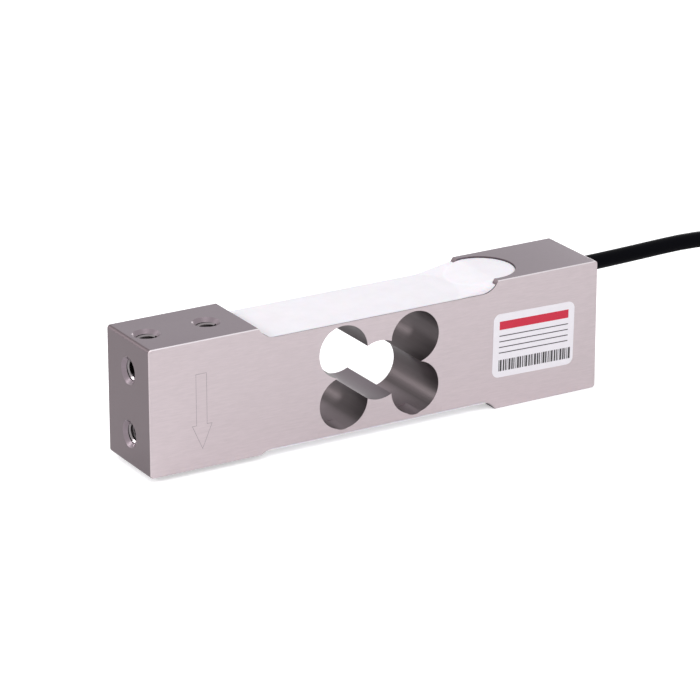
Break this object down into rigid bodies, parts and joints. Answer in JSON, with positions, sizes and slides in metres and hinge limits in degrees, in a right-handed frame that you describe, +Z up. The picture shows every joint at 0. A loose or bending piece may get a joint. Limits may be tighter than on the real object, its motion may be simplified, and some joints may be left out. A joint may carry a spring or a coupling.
{
  "type": "single point load cell",
  "caption": "Rectangular bending-beam load cell with a milled five-bore flexure, threaded ends, silicone-covered gauges and a tied signal cable.",
  "frame": {"origin": "middle of the beam's underside, at the height of the cable end's mounting pad", "axes": "+X along the beam towards the cable end, +Z up, the labelled side at -Y"},
  "size_m": [0.3232, 0.038, 0.04],
  "materials": {
    "beam_aluminium": "fine brushed, clear anodised",
    "gauge_film": "amber polyimide",
    "gauge_foil": "thin resistance foil",
    "tab_copper": "tinned copper",
    "lead_enamel": "enamelled ribbon",
    "board_epoxy": "glass epoxy",
    "bond_adhesive": "cured adhesive",
    "chip_black": "small resistor bodies",
    "solder": "tin solder",
    "silicone_white": "soft satin silicone",
    "label_white": "polyester film, plain design",
    "jacket_black": "soft cable jacket",
    "ferrule_steel": "crimped ring",
    "tie_nylon": "nylon",
    "core_red": "insulated core",
    "core_black": "insulated core",
    "core_green": "insulated core",
    "core_white": "insulated core",
    "core_shield": "sleeved drain wire"
  },
  "bodies": {
    "root": {"beam_body": "beam_aluminium", "gauge_top_load": "gauge_film", "foil_top_load": "gauge_foil", "tab_top_load": "tab_copper", "gauge_top_cable": "gauge_film", "foil_top_cable": "gauge_foil", "tab_top_cable": "tab_copper", "gauge_bottom_load": "gauge_film", "foil_bottom_load": "gauge_foil", "tab_bottom_load": "tab_copper", "gauge_bottom_cable": "gauge_film", "foil_bottom_cable": "gauge_foil", "tab_bottom_cable": "tab_copper", "board_bond": "bond_adhesive", "terminal_board": "board_epoxy", "trim_resistor_1": "chip_black", "trim_resistor_2": "chip_black", "trim_resistor_3": "chip_black", "trim_resistor_4": "chip_black", "gauge_solder_joints": "solder", "cable_solder_joints": "solder", "lead_top_load": "lead_enamel", "lead_top_cable": "lead_enamel", "lead_bottom_load": "lead_enamel", "lead_bottom_cable": "lead_enamel", "core_red": "core_red", "core_black": "core_black", "core_green": "core_green", "core_white": "core_white", "core_shield": "core_shield", "cable_jacket_inside": "jacket_black", "cable_ferrule": "ferrule_steel", "cable_seal": "jacket_black", "top_silicone": "silicone_white", "bottom_silicone": "silicone_white", "rating_label": "label_white", "cable_run": "jacket_black", "cable_hank": "jacket_black", "hank_tie": "tie_nylon", "end_sleeve": "jacket_black", "tail_red": "core_red", "tail_black": "core_black", "tail_green": "core_green", "tail_white": "core_white", "tail_shield": "core_shield"}
  },
  "joints": []
}
